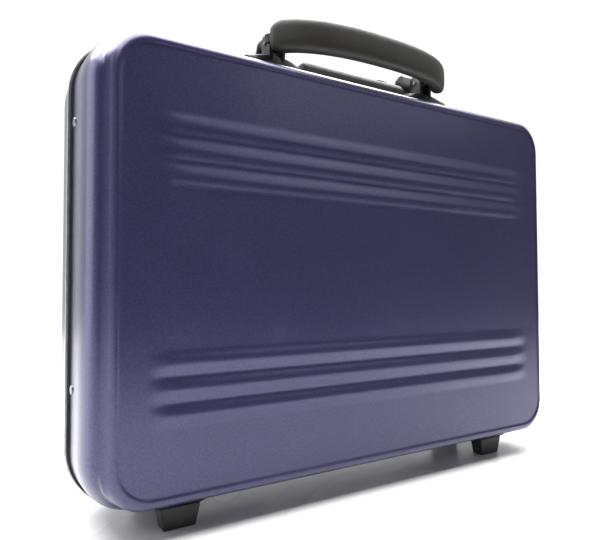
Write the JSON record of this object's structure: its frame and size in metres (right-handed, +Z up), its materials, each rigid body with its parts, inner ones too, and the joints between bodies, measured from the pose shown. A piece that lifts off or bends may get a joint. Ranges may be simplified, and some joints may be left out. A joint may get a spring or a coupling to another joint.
{
  "type": "attache case",
  "caption": "Slim hard-shell aluminium attache case: two pressed ribbed halves hinged at the bottom edge, fold-down carrying handle, flip latches and dial lock on top.",
  "frame": {"origin": "on the floor under the middle of the whole object, as it stands on its feet", "axes": "+X along the case, -Y out of the front (base) half, +Z up towards the handle"},
  "size_m": [0.415, 0.1127, 0.335],
  "materials": {
    "blue_paint": "satin painted metallic blue",
    "bare_aluminium": "satin anodised",
    "gasket_rubber": "matte",
    "lining_cloth": "woven",
    "foot_rubber": "matte",
    "steel": "satin",
    "hinge_metal": "dark satin",
    "black_metal": "satin black",
    "grip_rubber": "soft-touch matte",
    "dial_metal": "knurled satin",
    "latch_metal": "satin cast",
    "organiser_cloth": "grained",
    "strap_webbing": "woven webbing",
    "buckle_plastic": "gloss"
  },
  "bodies": {
    "base": {"front_shell": "blue_paint", "front_frame": "bare_aluminium", "gasket": "gasket_rubber", "front_lining": "lining_cloth", "front_foot_left": "foot_rubber", "front_foot_right": "foot_rubber", "front_foot_screws": "steel", "front_side_rivets": "steel", "hinge_pin_left": "steel", "hinge_pin_right": "steel", "handle_pin_left": "steel", "handle_pin_right": "steel", "dial_axle": "steel", "latch_keeper_left": "steel", "latch_keeper_right": "steel", "button_spring": "steel", "hinge_leaf_front_left": "hinge_metal", "hinge_leaf_front_right": "hinge_metal", "handle_bracket_left": "black_metal", "handle_bracket_right": "black_metal", "lock_housing": "black_metal", "document_strap": "strap_webbing", "strap_buckle": "buckle_plastic"},
    "lid": {"rear_shell": "blue_paint", "rear_frame": "bare_aluminium", "rear_lining": "lining_cloth", "rear_foot_left": "foot_rubber", "rear_foot_right": "foot_rubber", "rear_foot_screws": "steel", "rear_side_rivets": "steel", "hinge_leaf_rear_left": "hinge_metal", "hinge_leaf_rear_right": "hinge_metal", "latch_base_left": "black_metal", "latch_base_right": "black_metal", "latch_pin_left": "steel", "latch_pin_right": "steel", "latch_spring_left": "steel", "latch_spring_right": "steel", "file_organiser": "organiser_cloth", "pen_loops": "organiser_cloth"},
    "handle": {"handle_core": "steel", "handle_grip": "grip_rubber"},
    "latch_left": {"latch_lever_left": "latch_metal"},
    "latch_right": {"latch_lever_right": "latch_metal"},
    "dial_1": {"number_dial_1": "dial_metal"},
    "dial_2": {"number_dial_2": "dial_metal"},
    "dial_3": {"number_dial_3": "dial_metal"},
    "button": {"lock_button": "dial_metal"}
  },
  "joints": [
    {"name": "lid_hinge", "type": "hinge", "parent": "base", "child": "lid", "pos_m": [0, 0.0059, 0.0087], "axis": [-1, 0, 0], "range_deg": [0, 95]},
    {"name": "handle_swing", "type": "hinge", "parent": "base", "child": "handle", "pos_m": [0, -0.0141, 0.3235], "axis": [-1, 0, 0], "range_deg": [0, 90]},
    {"name": "latch_left_flip", "type": "hinge", "parent": "lid", "child": "latch_left", "pos_m": [-0.0675, 0.0184, 0.3185], "axis": [-1, 0, 0], "range_deg": [0, 95]},
    {"name": "latch_right_flip", "type": "hinge", "parent": "lid", "child": "latch_right", "pos_m": [0.0675, 0.0184, 0.3185], "axis": [-1, 0, 0], "range_deg": [0, 95]},
    {"name": "dial_1_turn", "type": "hinge", "parent": "base", "child": "dial_1", "pos_m": [-0.006, -0.0136, 0.3144], "axis": [1, 0, 0], "continuous": true},
    {"name": "dial_2_turn", "type": "hinge", "parent": "base", "child": "dial_2", "pos_m": [0, -0.0136, 0.3144], "axis": [1, 0, 0], "continuous": true},
    {"name": "dial_3_turn", "type": "hinge", "parent": "base", "child": "dial_3", "pos_m": [0.006, -0.0136, 0.3144], "axis": [1, 0, 0], "continuous": true},
    {"name": "button_slide", "type": "slide", "parent": "base", "child": "button", "axis": [1, 0, 0], "range_m": [0, 0.005], "stiffness_N_per_m": 200}
  ]
}
